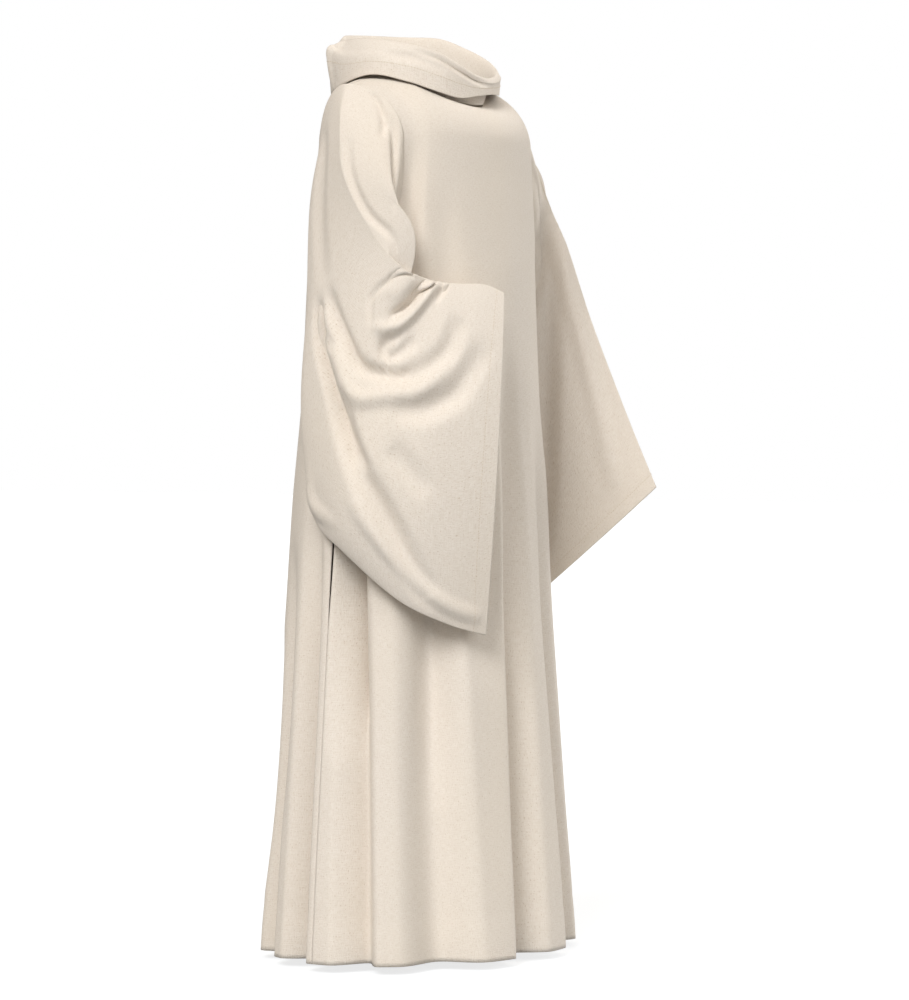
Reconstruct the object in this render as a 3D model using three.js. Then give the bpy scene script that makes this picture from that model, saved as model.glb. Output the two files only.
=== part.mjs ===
// A monk's alb: a floor-length robe of undyed cloth with a roll collar and very wide sleeves.
// It keeps the hollow form that it has when worn: the right forearm is raised in front of the
// belly, so that sleeve hangs from a bent elbow, and the left arm reaches down and forward.
// Millimetres, +Z up. The robe faces -Y and the wearer's left is +X. The origin is on the
// mid-line at the height of the shoulder seams, where the shoulders carry the robe.
// Every piece is one closed wall of cloth, made by moving a surface out and in along its normals.

import * as THREE from 'three';

// ---- driving sizes ----

const CLOTH = 2;             // thickness of the cloth wall
const SEAM = 0.3;            // gap between two pieces that are sewn together
const HEM = -1442;           // height of the hem
const UNDERARM = -330;       // height of the lower end of the armhole
const CHEST = -100;          // height where the shoulders have rounded over into the sides
const ARMHOLE_RISE = 200;    // height over which the armhole curves in from the side seam
const ARMHOLE_ANGLE = 58;    // angle from the middle of a panel to the armhole, at the chest
const SIDE_ANGLE = 90;       // angle from the middle of a panel to its side seam
const SHOULDER_TIP = { x: 203, y: 6, z: -9 };
const NECK = { halfWidth: 107, middle: 12, side: 16, frontReach: 120, frontDrop: 52, backReach: 88, backRise: 20 };
const SLIT = { top: -690, bottom: -893, opening: 5 };   // pocket slit in each side seam
const COLLAR_STAND = 4;      // height of the collar's seam edge over the neckline
const FOLD_SHARPNESS = 1.7;  // of a sleeve's ring: 1 is an oval, 2 is creased at top and underneath
const SLEEVE_LAP = 3.9;      // height of the sleeve's first ring over the armhole edge that it laps

// ---- how finely the surfaces are cut ----

const PANEL_COLUMNS = 36;
const SHOULDER_SHARE = 1 / 6;  // share of a panel's columns that each shoulder seam takes
const SHOULDER_STEPS = 5;
const ARMHOLE_HEIGHTS = [-150, -200, -250, -290, -315, UNDERARM];
const SKIRT_HEIGHTS = [-420, -530, -650, -770, -890, -1010, -1130, -1250, -1350, HEM];
const SLEEVE_STEPS = 10;
const COLLAR_COLUMNS = 48;

// ---- the body's plan at each height: half its width, half its depth, and the middle's y ----

const BODY = [
  { z: -60, width: 208, depth: 148, middle: -14 },
  { z: -100, width: 214, depth: 156, middle: -12 },
  { z: -186, width: 218, depth: 164, middle: -9 },
  { z: -330, width: 224, depth: 176, middle: -6 },
  { z: -530, width: 231, depth: 185, middle: -4 },
  { z: -690, width: 244, depth: 198, middle: -2 },
  { z: -865, width: 256, depth: 206, middle: 0 },
  { z: -1030, width: 268, depth: 217, middle: 0 },
  { z: -1200, width: 282, depth: 228, middle: 0 },
  { z: -1370, width: 296, depth: 240, middle: 0 },
  { z: -1450, width: 302, depth: 245, middle: 0 },
];

// ---- the body's large folds, all troughs that start at a height and deepen to the hem ----
// Angles go round from the middle of the front, 0, over the wearer's left, 90, to the back, 180.
// lean moves the trough's floor sideways, so that one of its sides overhangs.

const FOLDS = [
  { top: -400, topAngle: -1, hemAngle: -3, spread: 10, depth: 42, lean: -16 },
  { top: -520, topAngle: 24, hemAngle: 27, spread: 11, depth: 34, lean: 6 },
  { top: -640, topAngle: 58, hemAngle: 60, spread: 13, depth: 34, lean: -8 },
  { top: -560, topAngle: 96, hemAngle: 98, spread: 11, depth: 36, lean: -10 },
  { top: -700, topAngle: 122, hemAngle: 127, spread: 12, depth: 32, lean: 6 },
  { top: -420, topAngle: 152, hemAngle: 156, spread: 13, depth: 40, lean: -8 },
  { top: -600, topAngle: 181, hemAngle: 184, spread: 12, depth: 34, lean: 6 },
  { top: -480, topAngle: 210, hemAngle: 213, spread: 13, depth: 40, lean: 8 },
  { top: -760, topAngle: 236, hemAngle: 237, spread: 9, depth: 26, lean: -4 },
  { top: -640, topAngle: -102, hemAngle: -101, spread: 9, depth: 38, lean: 14 },
  { top: -560, topAngle: -80, hemAngle: -73, spread: 10, depth: 34, lean: 12 },
  { top: -560, topAngle: -47, hemAngle: -40, spread: 17, depth: 36, lean: 0 },
];

// ---- the collar: a band that stands up from the neckline, rolls over and falls outside ----
// At each angle: the rim's radius and height, the widest point of the fall, and its lower edge.

const COLLAR = [
  { angle: -155, rim: 128, rimZ: 92, belly: 146, bellyZ: 50, edge: 150, edgeZ: -13 },
  { angle: -135, rim: 130, rimZ: 80, belly: 157, bellyZ: 58, edge: 149, edgeZ: -10 },
  { angle: -111, rim: 129, rimZ: 76, belly: 150, bellyZ: 42, edge: 150, edgeZ: 2 },
  { angle: -85, rim: 128, rimZ: 71, belly: 148, bellyZ: 40, edge: 151, edgeZ: 12 },
  { angle: -60, rim: 127, rimZ: 61, belly: 146, bellyZ: 30, edge: 148, edgeZ: -3 },
  { angle: -40, rim: 127, rimZ: 48, belly: 141, bellyZ: 15, edge: 143, edgeZ: -19 },
  { angle: -25, rim: 127, rimZ: 31, belly: 136, bellyZ: 4, edge: 137, edgeZ: -26 },
  { angle: -8, rim: 127, rimZ: 15, belly: 133, bellyZ: -3, edge: 134, edgeZ: -20 },
  { angle: 12, rim: 127, rimZ: 13, belly: 133, bellyZ: 0, edge: 133, edgeZ: -14 },
  { angle: 38, rim: 129, rimZ: 30, belly: 135, bellyZ: 10, edge: 133, edgeZ: -10 },
  { angle: 62, rim: 128, rimZ: 53, belly: 141, bellyZ: 25, edge: 143, edgeZ: 0 },
  { angle: 88, rim: 127, rimZ: 78, belly: 146, bellyZ: 42, edge: 150, edgeZ: 12 },
  { angle: 110, rim: 127, rimZ: 97, belly: 148, bellyZ: 52, edge: 151, edgeZ: 6 },
  { angle: 135, rim: 127, rimZ: 100, belly: 148, bellyZ: 55, edge: 150, edgeZ: -8 },
  { angle: 170, rim: 127, rimZ: 99, belly: 148, bellyZ: 52, edge: 149, edgeZ: -15 },
];
const ROLL = 7;              // radius of the roll at the rim

// ---- the sleeves: rings from the armhole to the cuff, each through four points ----
// top and under are the ring's two folds, outer faces away from the body, inner faces it.

const RIGHT_SLEEVE = [
  { top: [-236, -8, -70], outer: [-222, 64, -205], under: [-244, 18, -352], inner: [-222, -108, -200] },
  { top: [-256, -30, -160], outer: [-240, 52, -330], under: [-252, 30, -480], inner: [-226, -126, -262] },
  { top: [-250, -84, -256], outer: [-260, 34, -450], under: [-256, 40, -620], inner: [-216, -132, -330] },
  { top: [-235, -130, -310], outer: [-279, -30, -526], under: [-260, 27, -717], inner: [-251, -34, -500] },
  { top: [-183, -151, -331], outer: [-280, -102, -590], under: [-276, -45, -772], inner: [-229, -91, -560] },
  { top: [-151, -182, -337], outer: [-239, -164, -607], under: [-238, -127, -849], inner: [-178, -150, -600] },
  { top: [-121, -214, -338], outer: [-188, -206, -615], under: [-177, -183, -889], inner: [-136, -188, -610] },
  { top: [-97, -237, -351], outer: [-124, -246, -590], under: [-119, -217, -908], inner: [-98, -214, -590] },
];
const LEFT_SLEEVE = [
  { top: [238, -66, -100], outer: [262, 38, -235], under: [247, 12, -372], inner: [228, -100, -232] },
  { top: [262, -100, -209], outer: [284, 5, -355], under: [248, 46, -500], inner: [242, -66, -365] },
  { top: [298, -147, -377], outer: [302, -15, -545], under: [252, 95, -710], inner: [264, -40, -552] },
  { top: [330, -205, -551], outer: [317, -25, -728], under: [258, 142, -900], inner: [286, -40, -735] },
  { top: [348, -253, -674], outer: [324, -33, -850], under: [262, 175, -1037], inner: [298, -45, -860] },
];

// ---- small helpers ----

const radians = THREE.MathUtils.degToRad;
const blend = THREE.MathUtils.lerp;
const clamp = THREE.MathUtils.clamp;

function cubic(before, start, end, after, share) {
  const slopeIn = (end - before) / 2;
  const slopeOut = (after - start) / 2;
  const s2 = share * share;
  const s3 = s2 * share;
  return start * (2 * s3 - 3 * s2 + 1) + slopeIn * (s3 - 2 * s2 + share)
    + end * (3 * s2 - 2 * s3) + slopeOut * (s3 - s2);
}

// A table's column at a height, smooth between rows. The rows go down from the top one.
function bodyAt(z, column) {
  const last = BODY.length - 1;
  let row = 0;
  while (row < last - 1 && z < BODY[row + 1].z) row += 1;
  const share = clamp((BODY[row].z - z) / (BODY[row].z - BODY[row + 1].z), 0, 1);
  const value = (index) => BODY[clamp(index, 0, last)][column];
  return cubic(value(row - 1), value(row), value(row + 1), value(row + 2), share);
}

// The collar's column at an angle, smooth all the way round.
function collarAt(angle, column) {
  const count = COLLAR.length;
  const turn = (((angle - COLLAR[0].angle) % 360) + 360) % 360;
  const reach = (index) => (index < count ? COLLAR[index].angle - COLLAR[0].angle : 360);
  let row = 0;
  while (turn >= reach(row + 1)) row += 1;
  const share = (turn - reach(row)) / (reach(row + 1) - reach(row));
  const value = (index) => COLLAR[(index + count) % count][column];
  return cubic(value(row - 1), value(row), value(row + 1), value(row + 2), share);
}

// ---- the body's surface ----

function foldShift(angle, z) {
  const shift = { inward: 0, sideways: 0 };
  for (const fold of FOLDS) {
    const drop = clamp((fold.top - z) / (fold.top - HEM), 0, 1);
    const centre = blend(fold.topAngle, fold.hemAngle, drop);
    const away = ((((angle - centre + 180) % 360) + 360) % 360 - 180) / fold.spread;
    if (Math.abs(away) < 1) {
      const size = Math.sin(drop * Math.PI / 2) * (1 + Math.cos(away * Math.PI)) / 2;
      shift.inward += fold.depth * size;
      shift.sideways += fold.lean * size;
    }
  }
  return shift;
}

function bodyPoint(angle, z) {
  const turn = radians(angle);
  const out = new THREE.Vector3(Math.sin(turn), -Math.cos(turn), 0);
  const along = new THREE.Vector3(Math.cos(turn), Math.sin(turn), 0);
  const shift = foldShift(angle, z);
  return new THREE.Vector3(bodyAt(z, 'width') * out.x, bodyAt(z, 'middle') + bodyAt(z, 'depth') * out.y, z)
    .addScaledVector(out, -shift.inward)
    .addScaledVector(along, shift.sideways);
}

function necklinePoint(angle) {
  const turn = radians(angle);
  const forward = Math.cos(turn);
  const reach = forward > 0 ? NECK.frontReach : NECK.backReach;
  const drop = forward > 0 ? NECK.frontDrop : NECK.backRise;
  return new THREE.Vector3(NECK.halfWidth * Math.sin(turn), NECK.middle - reach * forward, NECK.side - drop * forward);
}

// The angle from the middle of a panel to its edge: the armhole, and the side seam under it.
function edgeAngle(z) {
  const rise = clamp((z - UNDERARM) / ARMHOLE_RISE, 0, 1);
  return SIDE_ANGLE - (SIDE_ANGLE - ARMHOLE_ANGLE) * Math.sqrt(1 - (1 - rise) ** 2);
}

// The upper edge of the front, side = 1, or back, side = -1, from shoulder tip to shoulder tip.
function upperEdge(across, side) {
  const neckShare = (across - SHOULDER_SHARE) / (1 - 2 * SHOULDER_SHARE);
  if (neckShare >= 0 && neckShare <= 1) {
    const angle = (neckShare - 0.5) * 2 * SIDE_ANGLE;
    return necklinePoint(side > 0 ? angle : 180 - angle);
  }
  const hand = across < 0.5 ? -1 : 1;
  const toNeck = Math.min(across, 1 - across) / SHOULDER_SHARE;
  return new THREE.Vector3(
    hand * blend(SHOULDER_TIP.x, NECK.halfWidth, toNeck),
    blend(SHOULDER_TIP.y, NECK.middle, toNeck),
    blend(SHOULDER_TIP.z, NECK.side, toNeck),
  );
}

// A point of the front or back. Rows up to SHOULDER_STEPS round over from the shoulder and the
// neckline to the chest, and the rows after them hang at the listed heights.
const HANGING_HEIGHTS = [...ARMHOLE_HEIGHTS, ...SKIRT_HEIGHTS];

function panelPoint(across, row, side) {
  const z = row <= SHOULDER_STEPS ? CHEST : HANGING_HEIGHTS[row - SHOULDER_STEPS - 1];
  const angle = (across - 0.5) * 2 * edgeAngle(z);
  const hanging = bodyPoint(side > 0 ? angle : 180 - angle, z);
  if (row >= SHOULDER_STEPS) return hanging;
  const upper = upperEdge(across, side);
  const turn = (row / SHOULDER_STEPS) * Math.PI / 2;
  return new THREE.Vector3(
    blend(upper.x, hanging.x, Math.sin(turn)),
    blend(upper.y, hanging.y, Math.sin(turn)),
    blend(hanging.z, upper.z, Math.cos(turn)),
  );
}

// ---- walls of cloth ----

// The normal of a grid of points at one of them, from its neighbours.
function gridNormal(points, row, column, closed) {
  const columns = points[0].length;
  const step = (r, c) => points[clamp(r, 0, points.length - 1)][closed ? (c + columns) % columns : clamp(c, 0, columns - 1)];
  const down = step(row + 1, column).clone().sub(step(row - 1, column));
  const across = step(row, column + 1).clone().sub(step(row, column - 1));
  return down.cross(across).normalize();
}

// A closed wall round a grid of points: its two faces and the strips that join them at the edges.
function wallGeometry(points, normals, closed) {
  const rows = points.length;
  const columns = points[0].length;
  const positions = [];
  for (const face of [0.5, -0.5]) {
    points.forEach((line, r) => line.forEach((point, c) => {
      positions.push(...point.clone().addScaledVector(normals[r][c], face * CLOTH).toArray());
    }));
  }
  const outer = (r, c) => r * columns + (c % columns);
  const inner = (r, c) => rows * columns + outer(r, c);
  const indices = [];
  const quad = (a, b, c, d) => indices.push(a, b, c, a, c, d);
  const spans = closed ? columns : columns - 1;
  for (let c = 0; c < spans; c += 1) {
    for (let r = 0; r < rows - 1; r += 1) {
      quad(outer(r, c), outer(r, c + 1), outer(r + 1, c + 1), outer(r + 1, c));
      quad(inner(r, c), inner(r + 1, c), inner(r + 1, c + 1), inner(r, c + 1));
    }
    quad(outer(0, c), inner(0, c), inner(0, c + 1), outer(0, c + 1));
    quad(outer(rows - 1, c), outer(rows - 1, c + 1), inner(rows - 1, c + 1), inner(rows - 1, c));
  }
  if (!closed) {
    for (let r = 0; r < rows - 1; r += 1) {
      quad(outer(r, 0), outer(r + 1, 0), inner(r + 1, 0), inner(r, 0));
      quad(outer(r, spans), inner(r, spans), inner(r + 1, spans), outer(r + 1, spans));
    }
  }
  const geometry = new THREE.BufferGeometry();
  geometry.setAttribute('position', new THREE.Float32BufferAttribute(positions, 3));
  geometry.setIndex(signedVolume(positions, indices) < 0 ? indices.reverse() : indices);
  geometry.computeVertexNormals();
  return geometry;
}

function signedVolume(positions, indices) {
  let volume = 0;
  for (let i = 0; i < indices.length; i += 3) {
    const [a, b, c] = [0, 1, 2].map((k) => new THREE.Vector3().fromArray(positions, 3 * indices[i + k]));
    volume += a.dot(b.cross(c)) / 6;
  }
  return volume;
}

// ---- the pieces ----

// How far a panel's edge stays from the seam line at a height: the slit opens the side seam.
function edgeInset(z) {
  if (z >= SLIT.top || z <= SLIT.bottom) return SEAM / 2;
  const share = (SLIT.top - z) / (SLIT.top - SLIT.bottom);
  return SEAM / 2 + SLIT.opening * Math.sin(share * Math.PI);
}

// A panel's points and normals, from its upper edge to the hem.
function panelGrid(side) {
  const rows = SHOULDER_STEPS + HANGING_HEIGHTS.length;
  const points = [];
  for (let row = 0; row <= rows; row += 1) {
    const line = [];
    for (let c = -1; c <= PANEL_COLUMNS + 1; c += 1) {
      const across = c / PANEL_COLUMNS;
      line.push(panelPoint(row > SHOULDER_STEPS ? across : clamp(across, 0, 1), row, side));
    }
    points.push(line);
  }
  const normals = points.map((line, r) => line.map((_, c) => gridNormal(points, r, c, false).multiplyScalar(side)));
  normals[0].forEach((normal) => normal.setY(0).normalize());   // both sides of a shoulder seam share one
  return { points: points.map((line) => line.slice(1, -1)), normals: normals.map((line) => line.slice(1, -1)) };
}

function panelGeometry(grid) {
  grid.points.forEach((line) => {
    const inset = line[0].z > UNDERARM + SEAM ? 0 : edgeInset(line[0].z);
    moveTowards(line[0], line[1], inset);
    moveTowards(line[PANEL_COLUMNS], line[PANEL_COLUMNS - 1], inset);
  });
  grid.points[0].forEach((point, c) => moveTowards(point, grid.points[1][c], SEAM / 2));
  return wallGeometry(grid.points, grid.normals, false);
}

function moveTowards(point, target, distance) {
  point.addScaledVector(target.clone().sub(point).normalize(), distance);
}

// A ring of a sleeve: round > 0 is the share of the way from top over outer, under and inner.
function ringPoint(ring, round) {
  const [top, outer, under, inner] = [ring.top, ring.outer, ring.under, ring.inner].map((p) => new THREE.Vector3(...p));
  const turn = round * 2 * Math.PI;
  const ends = top.clone().add(under).multiplyScalar(0.5);
  const face = Math.sin(turn) < 0 ? inner : outer;
  return ends.clone()
    .addScaledVector(top.sub(under), Math.cos(turn) / 2)
    .addScaledVector(face.sub(ends), Math.abs(Math.sin(turn)) ** FOLD_SHARPNESS);
}

// The sleeve is lapped over the armhole: its first ring is the armhole's edge, moved out. It
// runs down the back's edge to the underarm and up the front's edge.
function armholeLoop(hand) {
  const edge = hand > 0 ? PANEL_COLUMNS : 0;
  const last = SHOULDER_STEPS + ARMHOLE_HEIGHTS.length;
  const rows = Array.from({ length: last + 1 }, (_, row) => row);
  const lapped = (grid, row) => grid.points[row][edge].clone().addScaledVector(grid.normals[row][edge], SLEEVE_LAP);
  const [back, front] = [panelGrid(-1), panelGrid(1)];
  return [...rows.map((row) => lapped(back, row)), ...rows.slice(1, -1).reverse().map((row) => lapped(front, row))];
}

function sleeveGeometry(rings, hand) {
  const armhole = armholeLoop(hand);
  const columns = armhole.map((edge, c) => {
    const path = rings.map((ring) => ringPoint(ring, c / armhole.length));
    return new THREE.CatmullRomCurve3([edge, ...path], false, 'centripetal');
  });
  const points = [];
  for (let row = 0; row <= SLEEVE_STEPS; row += 1) {
    points.push(columns.map((column) => column.getPoint(row / SLEEVE_STEPS)));
  }
  const normals = points.map((line, r) => line.map((_, c) => gridNormal(points, r, c, true)));
  return wallGeometry(points, normals, true);
}

function collarGeometry() {
  const lines = [];
  for (let c = 0; c < COLLAR_COLUMNS; c += 1) {
    const angle = (c / COLLAR_COLUMNS) * 360;
    const turn = radians(angle);
    const at = (radius, z) => new THREE.Vector3(radius * Math.sin(turn), -radius * Math.cos(turn), z);
    const [rim, rimZ] = [collarAt(angle, 'rim'), collarAt(angle, 'rimZ')];
    const [belly, bellyZ] = [collarAt(angle, 'belly'), collarAt(angle, 'bellyZ')];
    const [edge, edgeZ] = [collarAt(angle, 'edge'), collarAt(angle, 'edgeZ')];
    const neck = necklinePoint(angle).add(new THREE.Vector3(0, 0, COLLAR_STAND));
    const innerRim = at(rim - ROLL, rimZ - ROLL);
    lines.push([
      at(edge, edgeZ),
      at(belly, bellyZ),
      at(blend(rim + ROLL, belly, 0.5), blend(rimZ - ROLL, bellyZ, 0.45)),
      at(rim + ROLL, rimZ - ROLL),
      at(rim, rimZ),
      innerRim,
      innerRim.clone().lerp(neck, 0.5),
      neck,
    ]);
  }
  const points = lines[0].map((_, r) => lines.map((line) => line[r]));
  const normals = points.map((line, r) => line.map((_, c) => gridNormal(points, r, c, true)));
  return wallGeometry(points, normals, true);
}

function clothPiece(name, geometry, colour) {
  const material = new THREE.MeshStandardMaterial({ color: colour, roughness: 0.92, metalness: 0, side: THREE.DoubleSide });
  const mesh = new THREE.Mesh(geometry, material);
  mesh.name = name;
  return mesh;
}

const CREAM = 0xe9dccb;
const alb = new THREE.Group();
alb.name = 'alb_robe';
alb.add(
  clothPiece('front', panelGeometry(panelGrid(1)), CREAM),
  clothPiece('back', panelGeometry(panelGrid(-1)), CREAM),
  clothPiece('right_sleeve', sleeveGeometry(RIGHT_SLEEVE, -1), CREAM),
  clothPiece('left_sleeve', sleeveGeometry(LEFT_SLEEVE, 1), CREAM),
  clothPiece('roll_collar', collarGeometry(), CREAM),
);

export default alb;
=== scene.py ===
# %% [markdown]
# # A monk's alb
# A floor-length robe of undyed, flecked cloth with a roll collar and very wide sleeves. It keeps the
# hollow form it has when worn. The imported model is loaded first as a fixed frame, and every piece of
# cloth below is a finer shell on the form of its solid there. Sizes are in millimetres until a mesh
# is made, because that is how a maker measures cloth.

# %% Load the frame
import math

import bpy
import numpy as np
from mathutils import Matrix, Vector


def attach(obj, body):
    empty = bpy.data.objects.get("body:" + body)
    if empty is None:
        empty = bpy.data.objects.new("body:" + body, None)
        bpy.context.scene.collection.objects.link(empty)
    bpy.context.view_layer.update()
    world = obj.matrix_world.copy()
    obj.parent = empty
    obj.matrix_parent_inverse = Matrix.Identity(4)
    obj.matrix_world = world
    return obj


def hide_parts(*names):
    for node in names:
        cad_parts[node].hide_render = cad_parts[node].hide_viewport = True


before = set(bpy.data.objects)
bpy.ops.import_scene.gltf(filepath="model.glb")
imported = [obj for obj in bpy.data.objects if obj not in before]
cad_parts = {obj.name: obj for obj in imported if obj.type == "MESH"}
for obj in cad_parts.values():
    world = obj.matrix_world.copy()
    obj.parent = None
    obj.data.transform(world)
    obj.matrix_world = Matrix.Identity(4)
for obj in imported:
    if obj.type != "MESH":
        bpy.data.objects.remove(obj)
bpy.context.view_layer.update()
MM = 0.001

# %% [markdown]
# ## The cut
# These are the robe's driving sizes. The body is a tube whose plan is an oval at every height, and
# the two tables give that oval and the folds that sink into it. A fold is a trough that starts at a
# height and deepens to the hem; its lean pushes the floor sideways, so that one side overhangs, as
# the edge of a hanging fold does. A height field could not overhang, so points move in both ways.

# %% Driving sizes
HEM = -1442
UNDERARM = -330
CHEST = -100
ARMHOLE_RISE = 200
ARMHOLE_ANGLE = 58
SIDE_ANGLE = 90
SHOULDER_SHARE = 1 / 6
SHOULDER_TIP = (203, 6, -9)
NECK_HALF_WIDTH, NECK_MIDDLE, NECK_SIDE = 107, 12, 16
NECK_FRONT_REACH, NECK_FRONT_DROP, NECK_BACK_REACH, NECK_BACK_RISE = 120, 52, 88, 20
SLIT_TOP, SLIT_BOTTOM, SLIT_OPENING = -690, -893, 1.2
SEAM = 0.4
CLOTH = 1.4

BODY = np.array([
    # height, half width, half depth, middle's y
    (-60, 208, 148, -14), (-100, 214, 156, -12), (-186, 218, 164, -9), (-330, 224, 176, -6),
    (-530, 231, 185, -4), (-690, 244, 198, -2), (-865, 256, 206, 0), (-1030, 268, 217, 0),
    (-1200, 282, 228, 0), (-1370, 296, 240, 0), (-1450, 302, 245, 0),
], float)

FOLDS = [
    # top, angle at the top, angle at the hem, spread, depth, lean
    (-400, -1, -3, 10, 42, -16), (-520, 24, 27, 11, 34, 6), (-640, 58, 60, 13, 34, -8),
    (-560, 96, 98, 11, 36, -10), (-700, 122, 127, 12, 32, 6), (-420, 152, 156, 13, 40, -8),
    (-600, 181, 184, 12, 34, 6), (-480, 210, 213, 13, 40, 8), (-760, 236, 237, 9, 26, -4),
    (-640, -102, -101, 9, 38, 14), (-560, -80, -73, 10, 34, 12), (-560, -47, -40, 17, 36, 0),
]

# %% [markdown]
# Below the elbows the cloth also sinks in places that don't reach the hem: beside the pocket slit,
# under the near sleeve's corner, and in softer dents down the front and the back.

# %% Hollows that end above the hem
DEEPER = 1.35  # the hem folds of the fine cloth over those of the plain solid
HOLLOWS = [
    # top, bottom, angle at the top, angle at the bottom, spread, depth, lean
    (-540, -1120, -83, -81, 9, 62, 30), (-700, -1200, -42, -40, 13, 16, 0), (-560, -1000, -20, -22, 12, 9, 0),
    (-300, -800, 6, 2, 16, 9, 0), (-760, -1240, -121, -120, 9, 12, 4), (-240, -640, 40, 44, 14, 8, 0),
    (-620, -1100, 80, 80, 8, 12, -6), (-380, -900, 170, 168, 14, 10, 0), (-250, -700, 200, 204, 14, 9, 0),
    (-160, -420, -38, -34, 11, 5, 0), (-30, -420, -50, -60, 9, 13, 0), (-30, -420, 50, 60, 9, 11, 0), (-700, -1200, 106, 110, 9, 12, -4), (-900, -1350, 222, 224, 9, 12, 0),
]

# %% [markdown]
# ## Smooth curves through short tables
# A table has a row for each height that matters, and a cubic joins the rows. numpy works on whole
# grids of points at once, which keeps the script quick at a fine mesh.

# %% Helpers for tables and angles
def cubic(before, start, end, after, share):
    slope_in = (end - before) / 2
    slope_out = (after - start) / 2
    s2 = share * share
    s3 = s2 * share
    return (start * (2 * s3 - 3 * s2 + 1) + slope_in * (s3 - 2 * s2 + share)
            + end * (3 * s2 - 2 * s3) + slope_out * (s3 - s2))


def body_at(z, column):
    heights = BODY[:, 0]
    last = len(BODY) - 1
    row = np.clip(np.searchsorted(-heights, -z, side="right") - 1, 0, last - 1)
    share = np.clip((heights[row] - z) / (heights[row] - heights[row + 1]), 0, 1)
    value = lambda index: BODY[np.clip(index, 0, last), column]
    return cubic(value(row - 1), value(row), value(row + 1), value(row + 2), share)


def turn_between(angle, centre):
    return (angle - centre + 180) % 360 - 180


def bump(away):
    """1 at 0, falling smoothly to 0 at -1 and 1."""
    return np.where(np.abs(away) < 1, (1 + np.cos(np.clip(away, -1, 1) * np.pi)) / 2, 0)


# %% [markdown]
# ## The body's surface
# The oval, less the folds. A few faint waves with unequal lengths are added, because cloth that
# hangs free is never as even as a formula.

# %% Points on the body
def body_point(angle, z):
    turn = np.radians(angle)
    out = np.stack([np.sin(turn), -np.cos(turn), np.zeros_like(turn)], -1)
    along = np.stack([np.cos(turn), np.sin(turn), np.zeros_like(turn)], -1)
    inward = np.zeros_like(turn)
    sideways = np.zeros_like(turn)
    for top, top_angle, hem_angle, spread, depth, lean in FOLDS:
        drop = np.clip((top - z) / (top - HEM), 0, 1)
        centre = top_angle + (hem_angle - top_angle) * drop
        size = np.sin(drop * np.pi / 2) * bump(turn_between(angle, centre) / spread)
        inward += depth * DEEPER * size
        sideways += lean * size
    for top, bottom, top_angle, bottom_angle, spread, depth, lean in HOLLOWS:
        drop = np.clip((top - z) / (top - bottom), 0, 1)
        centre = top_angle + (bottom_angle - top_angle) * drop
        size = np.sin(drop * np.pi) ** 1.2 * bump(turn_between(angle, centre) / spread)
        inward += depth * size
        sideways += lean * size
    fall = np.clip((CHEST - z) / (CHEST - HEM), 0, 1)
    waves = (np.sin(np.radians(angle * 7 + 40) + z / 310) + 0.6 * np.sin(np.radians(angle * 13 + 110) - z / 240))
    inward += 2.2 * fall * waves
    point = np.stack([body_at(z, 1) * out[..., 0], body_at(z, 3) + body_at(z, 2) * out[..., 1], z], -1)
    return point - out * inward[..., None] + along * sideways[..., None]


def neckline_point(angle):
    turn = np.radians(angle)
    forward = np.cos(turn)
    reach = np.where(forward > 0, NECK_FRONT_REACH, NECK_BACK_REACH)
    drop = np.where(forward > 0, NECK_FRONT_DROP, NECK_BACK_RISE)
    return np.stack([NECK_HALF_WIDTH * np.sin(turn), NECK_MIDDLE - reach * forward, NECK_SIDE - drop * forward], -1)


def edge_angle(z):
    rise = np.clip((z - UNDERARM) / ARMHOLE_RISE, 0, 1)
    return SIDE_ANGLE - (SIDE_ANGLE - ARMHOLE_ANGLE) * np.sqrt(1 - (1 - rise) ** 2)


def upper_edge(across, side):
    neck_share = (across - SHOULDER_SHARE) / (1 - 2 * SHOULDER_SHARE)
    angle = (np.clip(neck_share, 0, 1) - 0.5) * 2 * SIDE_ANGLE
    neck = neckline_point(angle if side > 0 else 180 - angle)
    hand = np.where(across < 0.5, -1, 1)
    to_neck = np.minimum(across, 1 - across) / SHOULDER_SHARE
    tip = np.array(SHOULDER_TIP, float)
    seam = np.stack([
        hand * (tip[0] + (NECK_HALF_WIDTH - tip[0]) * to_neck),
        tip[1] + (NECK_MIDDLE - tip[1]) * to_neck,
        tip[2] + (NECK_SIDE - tip[2]) * to_neck,
    ], -1)
    on_neck = (neck_share >= 0) & (neck_share <= 1)
    return np.where(on_neck[..., None], neck, seam)


# %% [markdown]
# ## Creases
# A crease is a line drawn on the cloth: a few points in the piece's own measure (share of
# the way along, share of the way across), a width and a depth. A positive depth lifts a soft ridge,
# a negative one presses a trough, and it fades towards both ends. The line is mapped onto the
# surface first, so its width is a real distance however the cloth turns.

# %% The crease tool
CREASE_GAIN = 1.5


def line_on(surface, path, samples=60):
    """Points evenly spread on a smooth line through the path's points, on the surface."""
    path = np.array(path, float)
    at = np.linspace(0, len(path) - 1, samples)
    row = np.clip(at.astype(int), 0, len(path) - 2)
    share = (at - row)[:, None]
    value = lambda index: path[np.clip(index, 0, len(path) - 1)]
    line = cubic(value(row - 1), value(row), value(row + 1), value(row + 2), share)
    return surface(line[:, 0], line[:, 1])


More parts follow.
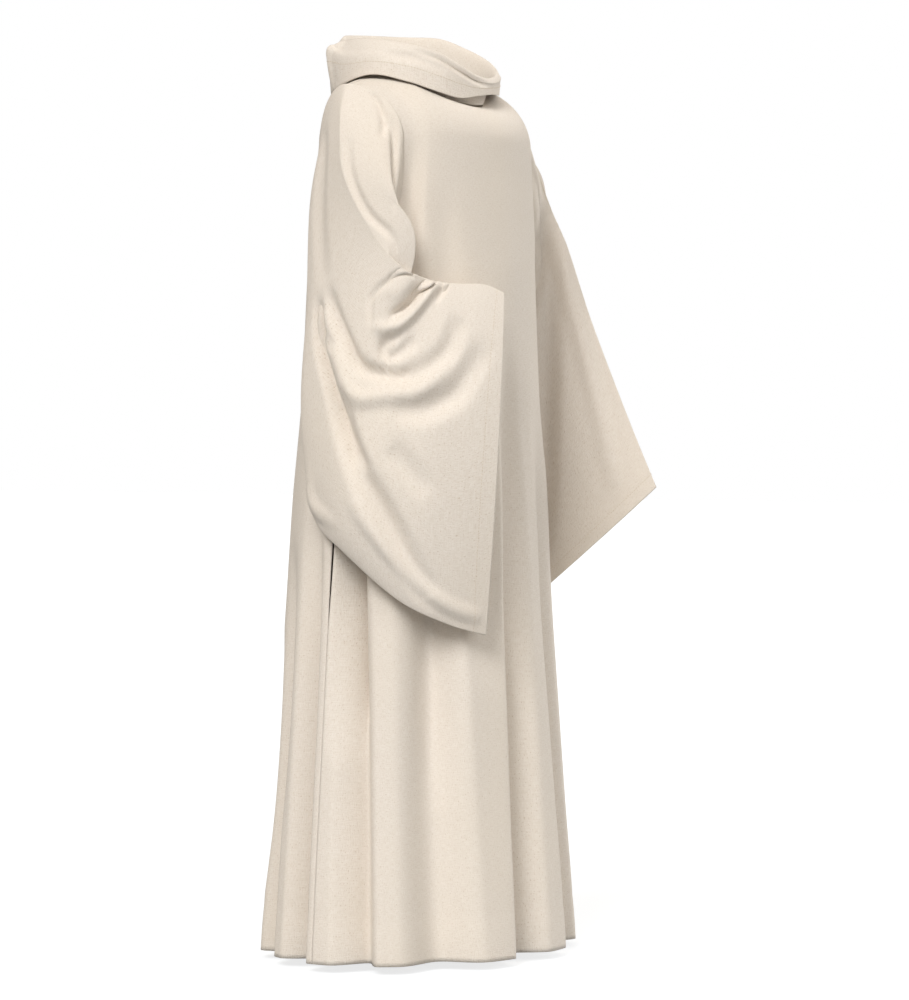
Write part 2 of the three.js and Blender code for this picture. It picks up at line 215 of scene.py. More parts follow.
def crease_shift(points, surface, creases):
    """How far each point moves out along its normal for a list of (path, width, depth)."""
    flat = points.reshape(-1, 3)
    shift = np.zeros(len(flat))
    for path, width, depth in creases:
        line = line_on(surface, path)
        low, high = line.min(0) - width, line.max(0) + width
        near = np.flatnonzero(np.all((flat > low) & (flat < high), axis=1))
        if len(near) == 0:
            continue
        gap = np.linalg.norm(flat[near][:, None, :] - line[None], axis=2)
        closest = gap.argmin(1)
        fade = np.sin(np.pi * (closest + 0.5) / len(line)) ** 0.6
        shift[near] += depth * CREASE_GAIN * fade * bump(gap.min(1) / width)
    return shift.reshape(points.shape[:-1])


def normals_of(points, closed):
    """Unit normals of a grid of points, from its neighbours."""
    if closed:
        ring = np.concatenate([points[:, -1:], points, points[:, :1]], 1)
        across = ring[:, 2:] - ring[:, :-2]
    else:
        across = np.gradient(points, axis=1)
    down = np.gradient(points, axis=0)
    normal = np.cross(down, across)
    return normal / np.maximum(np.linalg.norm(normal, axis=-1, keepdims=True), 1e-9)


# %% [markdown]
# ## From a grid of points to a piece of cloth
# Each piece is one sheet of quads with a UV map in metres, so that the weave keeps its scale, and
# Solidify gives it the cloth's thickness. The sheet faces outwards before it is thickened.

# %% Make a cloth piece
def cloth_piece(name, points, uv, closed, material, outward):
    rows, columns = points.shape[:2]
    index = np.arange(rows * columns).reshape(rows, columns)
    right = np.roll(index, -1, axis=1)
    spans = columns if closed else columns - 1
    quads = np.stack([index[:-1], right[:-1], right[1:], index[1:]], -1)[:, :spans].reshape(-1, 4)
    if not outward:
        quads = quads[:, ::-1]
    mesh = bpy.data.meshes.new(name)
    mesh.from_pydata((points.reshape(-1, 3) * MM).tolist(), [], quads.tolist())
    layer = mesh.uv_layers.new(name="cloth")
    corner = np.empty(len(mesh.loops), int)
    mesh.loops.foreach_get("vertex_index", corner)
    layer.data.foreach_set("uv", uv.reshape(-1, 2)[corner].astype(np.float32).ravel())
    mesh.polygons.foreach_set("use_smooth", np.ones(len(mesh.polygons), bool))
    mesh.materials.append(material)
    piece = bpy.data.objects.new(name, mesh)
    bpy.context.collection.objects.link(piece)
    thick = piece.modifiers.new("cloth", "SOLIDIFY")
    thick.thickness = CLOTH * MM
    thick.offset = 0
    area = sum(face.area for face in mesh.polygons)
    print(f"{name}: {len(quads)} faces, {area:.3f} square metres")
    return piece


# %% [markdown]
# ## The cloth's finish
# Undyed slub cloth: cream, matt, with thick and thin threads both ways and small brown flecks. The
# weave is one node group, because panels and sleeves use it with the grain turned. It reads the UV
# map, so the threads follow the cut, and gives a colour and a height.

# %% The weave node group
def weave_group():
    group = bpy.data.node_groups.new("slub_weave", "ShaderNodeTree")
    face = group.interface
    face.new_socket("Thread Length", in_out="INPUT", socket_type="NodeSocketFloat").default_value = 30
    face.new_socket("Fleck Amount", in_out="INPUT", socket_type="NodeSocketFloat").default_value = 0.5
    face.new_socket("Color", in_out="OUTPUT", socket_type="NodeSocketColor")
    face.new_socket("Height", in_out="OUTPUT", socket_type="NodeSocketFloat")
    nodes, links = group.nodes, group.links
    inputs = nodes.new("NodeGroupInput")
    outputs = nodes.new("NodeGroupOutput")
    uv = nodes.new("ShaderNodeUVMap")
    uv.uv_map = "cloth"

    def streaks(scale_u, scale_v, detail):
        mapping = nodes.new("ShaderNodeMapping")
        mapping.inputs["Scale"].default_value = (scale_u, scale_v, 1)
        links.new(uv.outputs["UV"], mapping.inputs["Vector"])
        noise = nodes.new("ShaderNodeTexNoise")
        noise.noise_dimensions = "2D"
        noise.inputs["Scale"].default_value = 1
        noise.inputs["Detail"].default_value = detail
        links.new(mapping.outputs["Vector"], noise.inputs["Vector"])
        return noise.outputs["Fac"]

    def ranged(value, low, high, to_low, to_high):
        node = nodes.new("ShaderNodeMapRange")
        node.inputs["From Min"].default_value = low
        node.inputs["From Max"].default_value = high
        node.inputs["To Min"].default_value = to_low
        node.inputs["To Max"].default_value = to_high
        links.new(value, node.inputs["Value"])
        return node.outputs["Result"]

    def math_node(kind, a, b):
        node = nodes.new("ShaderNodeMath")
        node.operation = kind
        for socket, value in zip(node.inputs, (a, b)):
            if isinstance(value, (int, float)):
                socket.default_value = value
            else:
                links.new(value, socket)
        return node.outputs["Value"]

    def mixed(amount, a, b):
        node = nodes.new("ShaderNodeMix")
        node.data_type = "RGBA"
        links.new(amount, node.inputs["Factor"])
        for socket, value in ((node.inputs["A"], a), (node.inputs["B"], b)):
            if isinstance(value, tuple):
                socket.default_value = value
            else:
                links.new(value, socket)
        return node.outputs["Result"]

    warp = streaks(900, 95, 2)
    weft = streaks(70, 900, 2)
    grain = streaks(620, 620, 2)
    cloudy = streaks(3.1, 2.3, 2)
    fleck = streaks(620, 260, 1)
    threads = math_node("ADD", ranged(warp, 0.3, 0.7, 0, 0.5), ranged(weft, 0.3, 0.7, 0, 0.5))
    light = mixed(ranged(threads, 0.25, 0.8, 0, 1), CLOTH_DARK, CLOTH_LIGHT)
    shade = mixed(ranged(cloudy, 0.35, 0.7, 0, 0.3), light, CLOTH_WARM)
    spots = math_node("MULTIPLY", ranged(fleck, 0.69, 0.76, 0, 1), inputs.outputs["Fleck Amount"])
    links.new(mixed(spots, shade, FLECK_BROWN), outputs.inputs["Color"])
    links.new(math_node("ADD", threads, math_node("MULTIPLY", grain, 0.8)), outputs.inputs["Height"])
    return group


CLOTH_LIGHT = (0.83, 0.77, 0.70, 1)
CLOTH_DARK = (0.76, 0.69, 0.61, 1)
CLOTH_WARM = (0.79, 0.71, 0.60, 1)
FLECK_BROWN = (0.42, 0.29, 0.18, 1)
WEAVE = weave_group()
print("weave group", len(WEAVE.nodes), "nodes")


# %% Cloth and thread materials
def cloth_material(name, flecks):
    material = bpy.data.materials.new(name)
    material.use_nodes = True
    nodes, links = material.node_tree.nodes, material.node_tree.links
    shader = nodes["Principled BSDF"]
    shader.inputs["Roughness"].default_value = 0.92
    shader.inputs["Specular IOR Level"].default_value = 0.2
    shader.inputs["Sheen Weight"].default_value = 0.12
    shader.inputs["Sheen Roughness"].default_value = 0.6
    weave = nodes.new("ShaderNodeGroup")
    weave.node_tree = WEAVE
    weave.inputs["Fleck Amount"].default_value = flecks
    raised = nodes.new("ShaderNodeBump")
    raised.inputs["Strength"].default_value = 0.35
    raised.inputs["Distance"].default_value = 0.0012
    links.new(weave.outputs["Color"], shader.inputs["Base Color"])
    links.new(weave.outputs["Height"], raised.inputs["Height"])
    links.new(raised.outputs["Normal"], shader.inputs["Normal"])
    return material


CLOTH_MATERIAL = cloth_material("alb_cloth", 0.4)


# %% [markdown]
# ## Front and back
# Both panels hang from the shoulder seams. Their first rows round over from the shoulder and the
# neckline to the chest, and below it every row lies on the body's surface. The side seams have a
# pocket slit each, where the two edges part.

# %% The two panels
PANEL_COLUMNS = 200
SHOULDER_ROWS = 26
HANGING_ROWS = 170
FLAT_PANEL_WIDTH = 1.2


def panel_grid(side):
    across = np.linspace(0, 1, PANEL_COLUMNS + 1)
    heights = np.linspace(CHEST, HEM, HANGING_ROWS + 1)
    z = heights[:, None] + 0 * across[None]
    angle = (across[None] - 0.5) * 2 * edge_angle(z)
    hanging = body_point(angle if side > 0 else 180 - angle, z)
    upper = upper_edge(across, side)
    turn = (np.arange(SHOULDER_ROWS) / SHOULDER_ROWS * np.pi / 2)[:, None, None]
    chest = hanging[0][None]
    level = upper[None] + (chest - upper[None]) * np.sin(turn)
    drop = chest + (upper[None] - chest) * np.cos(turn)
    shoulder = np.concatenate([level[..., :2], drop[..., 2:]], -1)
    return np.concatenate([shoulder, hanging]), across


def slit_inset(z):
    share = np.clip((SLIT_TOP - z) / (SLIT_TOP - SLIT_BOTTOM), 0, 1)
    return SEAM / 2 + SLIT_OPENING * np.sin(share * np.pi)


def make_panel(name, side):
    points, across = panel_grid(side)
    for edge, beside in ((0, 1), (-1, -2)):
        pull = points[:, beside] - points[:, edge]
        pull /= np.linalg.norm(pull, axis=1, keepdims=True)
        inset = np.where(points[:, edge, 2] > UNDERARM, 0, slit_inset(points[:, edge, 2]))
        points[:, edge] += pull * inset[:, None]
    length = np.concatenate([[0], np.linalg.norm(np.diff(points[:, PANEL_COLUMNS // 2], axis=0), axis=1).cumsum()])
    width = (across - 0.5) * FLAT_PANEL_WIDTH
    uv = np.stack(np.broadcast_arrays(width[None], length[:, None] * MM), -1)
    return cloth_piece(name, points, uv, False, CLOTH_MATERIAL, outward=side < 0), points


front, front_points = make_panel("front_cloth", 1)
back, back_points = make_panel("back_cloth", -1)

# %% [markdown]
# ## Sleeves
# Each sleeve is a tube through rings. A ring has a fold at the top, a fold underneath and two faces,
# one away from the body and one towards it. The right one hangs from a bent elbow, so its rings turn
# from level at the upper arm to upright at the cuff; the left one follows a straight arm.

# %% Rings of the sleeves
RIGHT_RINGS = [
    # top, outer, under, inner
    ((-236, -8, -70), (-222, 64, -205), (-244, 18, -352), (-222, -108, -200)),
    ((-256, -30, -160), (-240, 52, -330), (-252, 30, -480), (-226, -126, -262)),
    ((-250, -84, -256), (-260, 34, -450), (-256, 40, -620), (-216, -132, -330)),
    ((-235, -130, -310), (-279, -30, -526), (-260, 27, -717), (-251, -34, -500)),
    ((-183, -151, -331), (-280, -102, -590), (-276, -45, -772), (-229, -91, -560)),
    ((-151, -182, -337), (-239, -164, -607), (-238, -127, -849), (-178, -150, -600)),
    ((-121, -214, -338), (-188, -206, -615), (-177, -183, -889), (-136, -188, -610)),
    ((-97, -237, -351), (-124, -246, -590), (-119, -217, -908), (-98, -214, -590)),
]
LEFT_RINGS = [
    ((238, -66, -100), (262, 38, -235), (247, 12, -372), (228, -100, -232)),
    ((262, -100, -209), (284, 5, -355), (248, 46, -500), (242, -66, -365)),
    ((298, -147, -377), (302, -15, -545), (252, 95, -710), (264, -40, -552)),
    ((330, -205, -551), (317, -25, -728), (258, 142, -900), (286, -40, -735)),
    ((348, -253, -674), (324, -33, -850), (262, 175, -1037), (298, -45, -860)),
]

# %% [markdown]
# The first ring is the armhole's own edge, lifted clear of the panels, so the sleeve laps over them.
# The right sleeve's creases are the swags under the bent elbow, the roll of cloth inside it and the
# long diagonal that runs from the back of the elbow to the bottom of the cuff.

# %% Creases of the sleeves
RIGHT_CREASES = [
    # path of (along, around), width, depth
    ([(0.34, 0.20), (0.39, 0.22), (0.46, 0.24), (0.54, 0.265), (0.60, 0.285)], 17, -15),
    ([(0.50, 0.25), (0.62, 0.29), (0.67, 0.31), (0.745, 0.355), (0.83, 0.42)], 30, -12),
    ([(0.36, 0.17), (0.43, 0.18), (0.52, 0.195), (0.60, 0.18), (0.645, 0.175), (0.68, 0.17)], 17, -13),
    ([(0.64, 0.175), (0.725, 0.165), (0.79, 0.14), (0.80, 0.10)], 26, -7),
    ([(0.36, 0.20), (0.45, 0.21), (0.54, 0.225), (0.63, 0.20), (0.72, 0.19), (0.80, 0.16)], 20, 7),
    ([(0.66, 0.21), (0.74, 0.21), (0.80, 0.20), (0.86, 0.185), (0.92, 0.145)], 30, -9),
    ([(0.55, -0.01), (0.51, 0.04), (0.49, 0.08), (0.475, 0.12), (0.51, 0.148)], 8, -5),
    ([(0.55, 0.03), (0.55, 0.06), (0.53, 0.10)], 20, 4),
    ([(0.64, 0.0), (0.625, 0.03), (0.60, 0.06), (0.585, 0.09), (0.55, 0.118)], 9, -16),
    ([(0.66, 0.02), (0.64, 0.06), (0.61, 0.10), (0.575, 0.13), (0.52, 0.145)], 13, 9),
    ([(0.60, 0.13), (0.57, 0.155), (0.60, 0.16), (0.66, 0.13)], 18, -9),
    ([(0.69, 0.01), (0.70, 0.04), (0.68, 0.07)], 9, -4),
    ([(0.52, 0.235), (0.60, 0.27), (0.64, 0.28)], 14, -6),
    ([(0.36, 0.205), (0.45, 0.205)], 12, -5),
    ([(0.68, 0.25), (0.80, 0.29)], 30, -5),
    ([(0.62, 0.33), (0.74, 0.38), (0.86, 0.42), (0.97, 0.44)], 20, 5),
    ([(0.04, 0.87), (0.07, 0.81), (0.125, 0.765), (0.18, 0.76)], 12, -7),
    ([(0.02, 0.94), (0.055, 0.88), (0.09, 0.86)], 10, -5),
    ([(0.16, 0.94), (0.25, 0.955), (0.33, 0.96), (0.38, 0.93), (0.42, 0.88)], 12, -4),
    ([(0.06, 0.12), (0.20, 0.16), (0.33, 0.18)], 26, -4),
    ([(0.35, 0.62), (0.50, 0.70), (0.70, 0.75), (0.90, 0.72)], 26, -6),
    ([(0.40, 0.55), (0.60, 0.60), (0.85, 0.60)], 24, 6),
]
LEFT_CREASES = [
    ([(0.08, 0.90), (0.30, 0.86), (0.60, 0.80), (0.95, 0.74)], 34, -8),
    ([(0.05, 0.82), (0.20, 0.78), (0.40, 0.70), (0.60, 0.62)], 26, -9),
    ([(0.30, 0.93), (0.60, 0.91), (0.90, 0.88)], 26, 5),
    ([(0.08, 0.12), (0.30, 0.18), (0.60, 0.24), (0.95, 0.28)], 34, -10),
    ([(0.10, 0.22), (0.25, 0.30), (0.50, 0.38), (0.80, 0.42)], 28, -9),
    ([(0.25, 0.10), (0.50, 0.12), (0.85, 0.13)], 26, 6),
]

# %% Make the sleeves
SLEEVE_ALONG = 150
SLEEVE_AROUND = 180
SLEEVE_LAP = 2.6
FOLD_SHARPNESS = 1.7
FLAT_SLEEVE_LENGTH = 0.7
FLAT_SLEEVE_ROUND = 0.95


def armhole_points(hand, around):
    """The armhole's edge from the shoulder tip down the back to the underarm and up the front."""
    edge = -1 if hand > 0 else 0
    loop = []
    for points, flip in ((back_points, False), (front_points, True)):
        line = points[:, edge]
        last = np.argmax(line[:, 2] <= UNDERARM)
        normal = normals_of(points, False)[:, edge] * (-1 if not flip else 1)
        lifted = (line + normal * SLEEVE_LAP)[: last + 1]
        length = np.concatenate([[0], np.linalg.norm(np.diff(lifted, axis=0), axis=1).cumsum()])
        share = 0.5 - np.abs(around - 0.5) if flip else around
        wanted = share * 2 * length[-1]
        loop.append(np.stack([np.interp(wanted, length, lifted[:, k]) for k in range(3)], -1))
    return np.where((around <= 0.5)[:, None], loop[0], loop[1])


def ring_points(ring, around):
    top, outer, under, inner = (np.array(p, float) for p in ring)
    turn = around[:, None] * 2 * np.pi
    ends = (top + under) / 2
    face = np.where(np.sin(turn) < 0, inner, outer)
    return ends + (top - under) * np.cos(turn) / 2 + (face - ends) * np.abs(np.sin(turn)) ** FOLD_SHARPNESS


def sleeve_surface(rings, hand):
    """A function from arrays of (along, around) to points on the sleeve."""
    table_around = np.arange(721) / 720
    table = np.stack([armhole_points(hand, table_around)] + [ring_points(ring, table_around) for ring in rings])

    def surface(along, around):
        at = np.clip(along, 0, 1) * (len(table) - 1)
        row = np.clip(at.astype(int), 0, len(table) - 2)
        share = (at - row)[..., None]
        column = np.round((around % 1) * 720).astype(int)
        value = lambda index: table[np.clip(index, 0, len(table) - 1), column]
        return cubic(value(row - 1), value(row), value(row + 1), value(row + 2), share)

    return surface


def make_sleeve(name, rings, hand, creases):
    surface = sleeve_surface(rings, hand)
    along, around = np.meshgrid(np.linspace(0, 1, SLEEVE_ALONG + 1), np.arange(SLEEVE_AROUND) / SLEEVE_AROUND,
                                indexing="ij")
    points = surface(along, around)
    normals = normals_of(points, True) * hand
    points = points + normals * crease_shift(points, surface, creases)[..., None]
    fold = 0.5 - np.abs(around - 0.5)
    uv = np.stack([along * FLAT_SLEEVE_LENGTH, fold * 2 * FLAT_SLEEVE_ROUND / 2], -1)
    uv[..., 1] += np.where(around > 0.5, FLAT_SLEEVE_ROUND, 0)
    return cloth_piece(name, points, uv[..., ::-1], True, CLOTH_MATERIAL, outward=hand < 0), points


right_sleeve, right_points = make_sleeve("right_sleeve_cloth", RIGHT_RINGS, -1, RIGHT_CREASES)
left_sleeve, left_points = make_sleeve("left_sleeve_cloth", LEFT_RINGS, 1, LEFT_CREASES)

# %% [markdown]
# ## The roll collar
# One deep band: it stands up from the neckline, rolls over at the rim and falls outside. The table
# gives the rim, the fall's widest point and its lower edge at each angle round the neck, and the
# creases are the corner at the back of the right shoulder and the soft folds towards the front.

# %% Make the collar
COLLAR = np.array([
    # angle, rim, its height, belly, its height, lower edge, its height
    (-155, 128, 92, 146, 50, 150, -13), (-135, 130, 80, 157, 58, 149, -10), (-111, 129, 76, 150, 42, 150, 2),
    (-85, 128, 71, 148, 40, 151, 12), (-60, 127, 61, 146, 30, 148, -3), (-40, 127, 48, 141, 15, 143, -19),
    (-25, 127, 31, 136, 4, 137, -26), (-8, 127, 15, 133, -3, 134, -20), (12, 127, 13, 133, 0, 133, -14),
    (38, 129, 30, 135, 10, 133, -10), (62, 128, 53, 141, 25, 143, 0), (88, 127, 78, 146, 42, 150, 12),
    (110, 127, 97, 148, 52, 151, 6), (135, 127, 100, 148, 55, 150, -8), (170, 127, 99, 148, 52, 149, -15),
], float)
COLLAR_COLUMNS = 240
COLLAR_ROWS = 64
COLLAR_STAND = 4
ROLL = 7
COLLAR_CREASES = [
    ([(0.55, 0.625), (0.30, 0.618), (0.05, 0.612)], 9, -4),
    ([(0.50, 0.655), (0.25, 0.645), (0.02, 0.64)], 12, 5),
    ([(0.40, 0.84), (0.38, 0.90), (0.34, 0.96), (0.36, 1.01)], 10, -5),
    ([(0.20, 0.78), (0.22, 0.84), (0.18, 0.90)], 14, -3),
    ([(0.30, 0.10), (0.35, 0.16), (0.30, 0.24)], 14, -4),
    ([(0.45, 0.40), (0.20, 0.43), (0.05, 0.42)], 16, -4),
]


def collar_at(angle, column):
    start = COLLAR[0, 0]
    reach = np.append(COLLAR[:, 0] - start, 360)
    turn = (angle - start) % 360
    row = np.clip(np.searchsorted(reach, turn, side="right") - 1, 0, len(COLLAR) - 1)
    share = (turn - reach[row]) / (reach[row + 1] - reach[row])
    value = lambda index: COLLAR[index % len(COLLAR), column]
    return cubic(value(row - 1), value(row), value(row + 1), value(row + 2), share)


def collar_surface(along, around):
    """along runs from the lower edge over the roll to the neckline; around is the share of a turn."""
    angle = around * 360
    turn = np.radians(angle)
    at = lambda radius, z: np.stack([radius * np.sin(turn), -radius * np.cos(turn), z], -1)
    rim, rim_z, belly, belly_z, edge, edge_z = (collar_at(angle, k) for k in range(1, 7))
    neck = neckline_point(angle) + np.array([0, 0, COLLAR_STAND])
    inner_rim = at(rim - ROLL, rim_z - ROLL)
    stations = np.stack([
        at(edge, edge_z), at(belly, belly_z),
        at((rim + ROLL + belly) / 2, (rim_z - ROLL) * 0.55 + belly_z * 0.45),
        at(rim + ROLL, rim_z - ROLL), at(rim, rim_z), inner_rim, inner_rim * 0.5 + neck * 0.5, neck,
    ])
    place = np.clip(along, 0, 1) * (len(stations) - 1)
    row = np.clip(place.astype(int), 0, len(stations) - 2)
    share = (place - row)[..., None]
    pick = lambda index: np.take_along_axis(
        stations, np.clip(index, 0, len(stations) - 1)[None, ..., None].repeat(3, -1), 0)[0]
    return cubic(pick(row - 1), pick(row), pick(row + 1), pick(row + 2), share)


def make_collar():
    along, around = np.meshgrid(np.linspace(0, 1, COLLAR_ROWS + 1), np.arange(COLLAR_COLUMNS) / COLLAR_COLUMNS,
                                indexing="ij")
    points = collar_surface(along, around)
    normals = -normals_of(points, True)
    points = points + normals * crease_shift(points, collar_surface, COLLAR_CREASES)[..., None]
    uv = np.stack([along * 0.26, around * 0.88], -1)
    return cloth_piece("roll_collar_cloth", points, uv, True, CLOTH_MATERIAL, outward=True), points


collar, collar_points = make_collar()

# %% [markdown]
# ## Stitches
# The hem, the cuffs and the collar's fall are turned in and sewn down with one row of small stitches.
# A row is the same little stitch again and again along a path, so Geometry Nodes make it: the path is
# cut into equal steps, a stitch is set on each, turned along the path, and the copies are made real.

# %% The stitch node tree
def stitch_tree():
    tree = bpy.data.node_groups.new("stitch_row", "GeometryNodeTree")
    face = tree.interface
    face.new_socket("Geometry", in_out="INPUT", socket_type="NodeSocketGeometry")
    for name, value in (("Pitch", 0.005), ("Stitch Length", 0.003), ("Thread Radius", 0.0004)):
        face.new_socket(name, in_out="INPUT", socket_type="NodeSocketFloat").default_value = value
    face.new_socket("Thread", in_out="INPUT", socket_type="NodeSocketMaterial")
    face.new_socket("Geometry", in_out="OUTPUT", socket_type="NodeSocketGeometry")
    nodes, links = tree.nodes, tree.links
    inputs = nodes.new("NodeGroupInput")
    outputs = nodes.new("NodeGroupOutput")
    steps = nodes.new("GeometryNodeResampleCurve")
    steps.mode = "LENGTH"
    stitch = nodes.new("GeometryNodeMeshCylinder")
    stitch.inputs["Vertices"].default_value = 6
    along = nodes.new("GeometryNodeInputTangent")
    aim = nodes.new("FunctionNodeAlignRotationToVector")
    aim.axis = "Z"
    copies = nodes.new("GeometryNodeInstanceOnPoints")
    real = nodes.new("GeometryNodeRealizeInstances")
    dress = nodes.new("GeometryNodeSetMaterial")
    links.new(inputs.outputs["Geometry"], steps.inputs["Curve"])
    links.new(inputs.outputs["Pitch"], steps.inputs["Length"])
    links.new(inputs.outputs["Stitch Length"], stitch.inputs["Depth"])
    links.new(inputs.outputs["Thread Radius"], stitch.inputs["Radius"])
    links.new(along.outputs["Tangent"], aim.inputs["Vector"])
    links.new(steps.outputs["Curve"], copies.inputs["Points"])
    links.new(stitch.outputs["Mesh"], copies.inputs["Instance"])
    links.new(aim.outputs["Rotation"], copies.inputs["Rotation"])
    links.new(copies.outputs["Instances"], real.inputs["Geometry"])
    links.new(real.outputs["Geometry"], dress.inputs["Geometry"])
    links.new(inputs.outputs["Thread"], dress.inputs["Material"])
    links.new(dress.outputs["Geometry"], outputs.inputs["Geometry"])
    return tree


STITCHES = stitch_tree()


# %% Thread material and the rows
def thread_material():
    material = bpy.data.materials.new("alb_thread")
    material.use_nodes = True
    nodes, links = material.node_tree.nodes, material.node_tree.links
    shader = nodes["Principled BSDF"]
    shader.inputs["Roughness"].default_value = 0.8
    place = nodes.new("ShaderNodeTexCoord")
    noise = nodes.new("ShaderNodeTexNoise")
    noise.inputs["Scale"].default_value = 60
    tint = nodes.new("ShaderNodeMix")
    tint.data_type = "RGBA"
    tint.inputs["A"].default_value = THREAD_DARK
    tint.inputs["B"].default_value = THREAD_LIGHT
    links.new(place.outputs["Object"], noise.inputs["Vector"])
    links.new(noise.outputs["Fac"], tint.inputs["Factor"])
    links.new(tint.outputs["Result"], shader.inputs["Base Color"])
    return material


THREAD_DARK = (0.62, 0.52, 0.40, 1)
THREAD_LIGHT = (0.74, 0.65, 0.53, 1)
THREAD = thread_material()
THREAD_LIFT = 0.8


def stitch_row(name, points, normals, closed):
    """Sew a row along points (mm) that lie on the middle of the cloth."""
    line = (points + normals * THREAD_LIFT) * MM
    curve = bpy.data.curves.new(name, "CURVE")
    curve.dimensions = "3D"
    spline = curve.splines.new("POLY")
    spline.points.add(len(line) - 1)
    spline.points.foreach_set("co", np.column_stack([line, np.ones(len(line))]).ravel())
    spline.use_cyclic_u = closed
    path = bpy.data.objects.new(name + "_path", curve)
    bpy.context.collection.objects.link(path)
    sewing = path.modifiers.new("stitches", "NODES")
    sewing.node_group = STITCHES
    sockets = {item.name: item.identifier for item in STITCHES.interface.items_tree if item.in_out == "INPUT"}
    sewing[sockets["Thread"]] = THREAD
    sewing[sockets["Pitch"]] = 0.0052
    evaluated = path.evaluated_get(bpy.context.evaluated_depsgraph_get())
    mesh = bpy.data.meshes.new_from_object(evaluated)
    mesh.name = name
    bpy.data.objects.remove(path)
    bpy.data.curves.remove(curve)
    row = bpy.data.objects.new(name, mesh)
    bpy.context.collection.objects.link(row)
    print(f"{name}: {len(mesh.polygons)} faces")
    return row


HEM_ROW = -6
CUFF_ROW = -9
COLLAR_ROW = 7
rows = []
for name, points, row, closed, facing in (
    ("front_hem_stitches", front_points, HEM_ROW, False, -1),
    ("back_hem_stitches", back_points, HEM_ROW, False, 1),
    ("right_cuff_stitches", right_points, CUFF_ROW, True, -1),
    ("left_cuff_stitches", left_points, CUFF_ROW, True, 1),
    ("collar_edge_stitches", collar_points, COLLAR_ROW, True, -1),
):
    normals = normals_of(points, closed) * facing
    rows.append(stitch_row(name, points[row], normals[row], closed))

# %% [markdown]
# ## Floor, light and camera
# A pale floor just under the hem, a broad soft light high on the left, a weaker one on the right and
# a bright surround. The camera stands at the robe's front right, at about half its height, far off
# with a long lens.

# %% Studio
FLOOR = HEM - 14
CAMERA_AZIMUTH = -55
CAMERA_DISTANCE = 6.0
CAMERA_HEIGHT = -0.563
CAMERA_ASIDE = 0.058
CAMERA_TILT = 1.24
CAMERA_LENS = 127.8


def make_floor():
    mesh = bpy.data.meshes.new("floor")
    reach = 30
    z = FLOOR * MM
    mesh.from_pydata([(-reach, -reach, z), (reach, -reach, z), (reach, reach, z), (-reach, reach, z)], [], [(0, 1, 2, 3)])
    floor = bpy.data.objects.new("floor", mesh)
    bpy.context.collection.objects.link(floor)
    material = bpy.data.materials.new("pale_floor")
    material.use_nodes = True
    nodes, links = material.node_tree.nodes, material.node_tree.links
    shader = nodes["Principled BSDF"]
    shader.inputs["Base Color"].default_value = (0.3, 0.32, 0.34, 1)
    shader.inputs["Roughness"].default_value = 0.95
    glow = nodes.new("ShaderNodeEmission")
    glow.inputs["Strength"].default_value = 0.78
    lit = nodes.new("ShaderNodeAddShader")
    path = nodes.new("ShaderNodeLightPath")
    seen = nodes.new("ShaderNodeMixShader")
    links.new(shader.outputs["BSDF"], lit.inputs[0])
    links.new(glow.outputs["Emission"], lit.inputs[1])
    links.new(path.outputs["Is Camera Ray"], seen.inputs["Fac"])
    links.new(shader.outputs["BSDF"], seen.inputs[1])
    links.new(lit.outputs["Shader"], seen.inputs[2])
    links.new(seen.outputs["Shader"], nodes["Material Output"].inputs["Surface"])
    mesh.materials.append(material)


def sun(name, azimuth, elevation, strength, spread, colour):
    """A far lamp; azimuth 0 shines on the robe's front, and spread softens its shadows."""
    turn, lift = math.radians(azimuth), math.radians(elevation)
    towards = Vector((math.sin(turn) * math.cos(lift), -math.cos(turn) * math.cos(lift), math.sin(lift)))
    light = bpy.data.lights.new(name, "SUN")
    light.energy = strength
    light.angle = math.radians(spread)
    light.color = colour
    lamp = bpy.data.objects.new(name, light)
    lamp.rotation_euler = towards.to_track_quat("Z", "Y").to_euler()
    bpy.context.collection.objects.link(lamp)


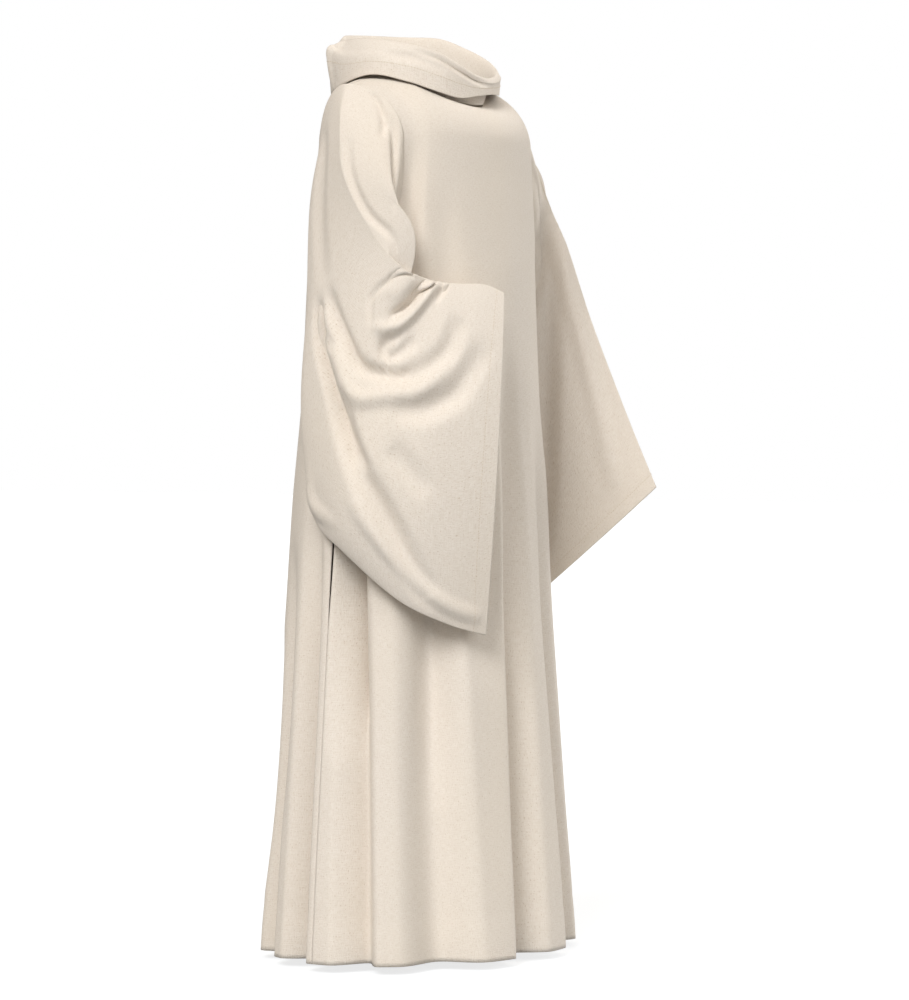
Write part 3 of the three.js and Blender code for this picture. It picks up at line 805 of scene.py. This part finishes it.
def surround(strength, colour):
    """An even glow from all round, seen by the camera as plain white."""
    world = bpy.data.worlds.new("studio")
    world.use_nodes = True
    nodes, links = world.node_tree.nodes, world.node_tree.links
    glow = nodes["Background"]
    glow.inputs["Color"].default_value = colour
    glow.inputs["Strength"].default_value = strength
    wall = nodes.new("ShaderNodeBackground")
    wall.inputs["Color"].default_value = (1, 1, 1, 1)
    wall.inputs["Strength"].default_value = 1.0
    path = nodes.new("ShaderNodeLightPath")
    choose = nodes.new("ShaderNodeMixShader")
    links.new(path.outputs["Is Camera Ray"], choose.inputs["Fac"])
    links.new(glow.outputs["Background"], choose.inputs[1])
    links.new(wall.outputs["Background"], choose.inputs[2])
    links.new(choose.outputs["Shader"], nodes["World Output"].inputs["Surface"])
    bpy.context.scene.world = world


def make_camera():
    turn = math.radians(CAMERA_AZIMUTH)
    right = Vector((math.cos(turn), math.sin(turn), 0))
    back_way = Vector((math.sin(turn), -math.cos(turn), 0))
    lens = bpy.data.cameras.new("camera")
    lens.lens = CAMERA_LENS
    lens.sensor_width = 36
    lens.clip_end = 100
    camera = bpy.data.objects.new("camera", lens)
    camera.location = back_way * CAMERA_DISTANCE + right * CAMERA_ASIDE + Vector((0, 0, CAMERA_HEIGHT))
    look = -back_way * math.cos(math.radians(CAMERA_TILT)) - Vector((0, 0, math.sin(math.radians(CAMERA_TILT))))
    camera.rotation_euler = look.to_track_quat("-Z", "Y").to_euler()
    bpy.context.collection.objects.link(camera)
    bpy.context.scene.camera = camera


make_camera()
make_floor()
sun("key", -80, 40, 2.2, 28, (1, 0.99, 0.98))
sun("front", -20, 30, 0.9, 60, (1, 1, 1))
sun("side", 75, 15, 1.4, 30, (1, 1, 1))
surround(0.34, (1, 0.88, 0.72, 1))
bpy.context.scene.view_settings.view_transform = "Standard"

# %% [markdown]
# ## What each piece stands for
# Every piece rides on the one body and hides its plain solid, and the table gives the size it
# was cut to.

PIECES = [
    # piece, solid, flat width and length, flat area
    (front, "front", (1.25, 1.48), 1.10),
    (back, "back", (1.25, 1.50), 1.12),
    (right_sleeve, "right_sleeve", (1.16, 0.66), 0.50),
    (left_sleeve, "left_sleeve", (1.16, 0.66), 0.50),
    (collar, "roll_collar", (0.90, 0.17), 0.14),
]
for piece, solid, flat, area in PIECES:
    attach(piece, "root")
    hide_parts(solid)

for row in rows:
    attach(row, "root")
